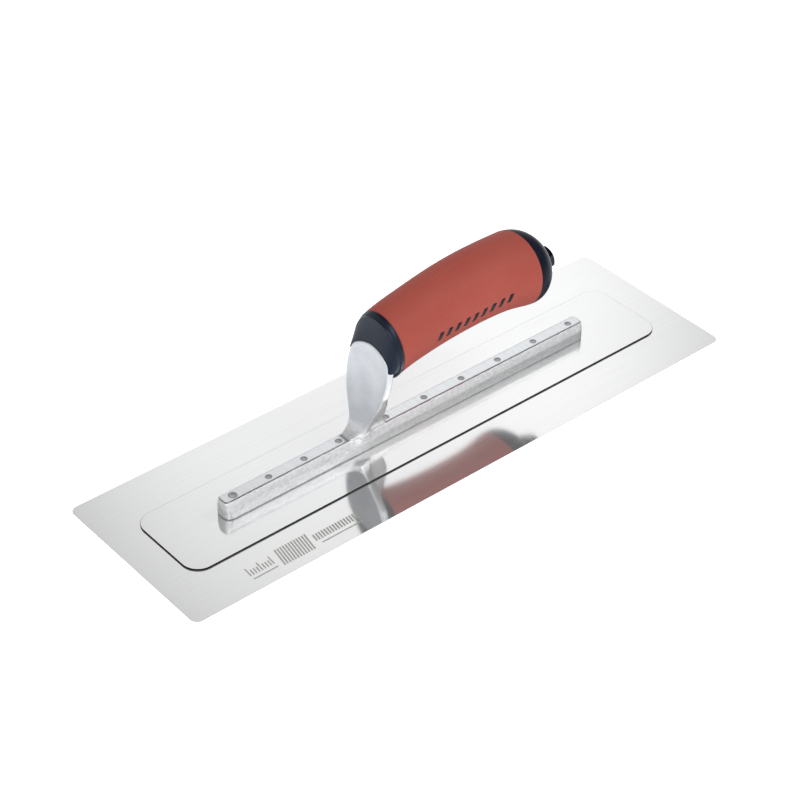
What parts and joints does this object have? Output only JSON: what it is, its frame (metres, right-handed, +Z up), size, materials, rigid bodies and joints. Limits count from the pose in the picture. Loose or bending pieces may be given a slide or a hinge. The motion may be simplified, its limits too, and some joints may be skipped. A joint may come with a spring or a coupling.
{
  "type": "steel finishing trowel",
  "caption": "Rectangular steel finishing trowel: thin blade, bonded backing plate, cast aluminium mounting with riveted bar and leaf shank, and a curved soft-grip handle.",
  "frame": {"origin": "bottom centre of the blade, on the working face", "axes": "+X along the blade from the toe to the heel (the handle's open end points to the toe), +Y across the blade, +Z up through the handle"},
  "size_m": [0.4064, 0.1206, 0.1012],
  "materials": {
    "blade_steel": "brushed stainless",
    "bond_film": "dark bonding layer",
    "plate_steel": "brushed stainless, semi-mirror",
    "cast_aluminium": "sanded faces, as-cast sides",
    "rivet_steel": "ground flush",
    "black_plastic": "moulded, semi-gloss",
    "core_plastic": "moulded",
    "red_overmould": "soft satin overmould",
    "zinc_steel": "zinc plated",
    "black_steel": "black oxide"
  },
  "bodies": {
    "root": {"blade": "blade_steel", "bond_film": "bond_film", "backing_plate": "plate_steel", "mounting": "cast_aluminium", "toe_rivet": "rivet_steel", "front_rivets": "rivet_steel", "rear_rivets": "rivet_steel", "front_collar": "black_plastic", "handle_core": "core_plastic", "grip_sleeve": "red_overmould", "grip_inlay": "black_plastic", "end_cap": "black_plastic", "tang_rod": "zinc_steel", "washer": "zinc_steel", "lock_nut": "black_steel"}
  },
  "joints": []
}
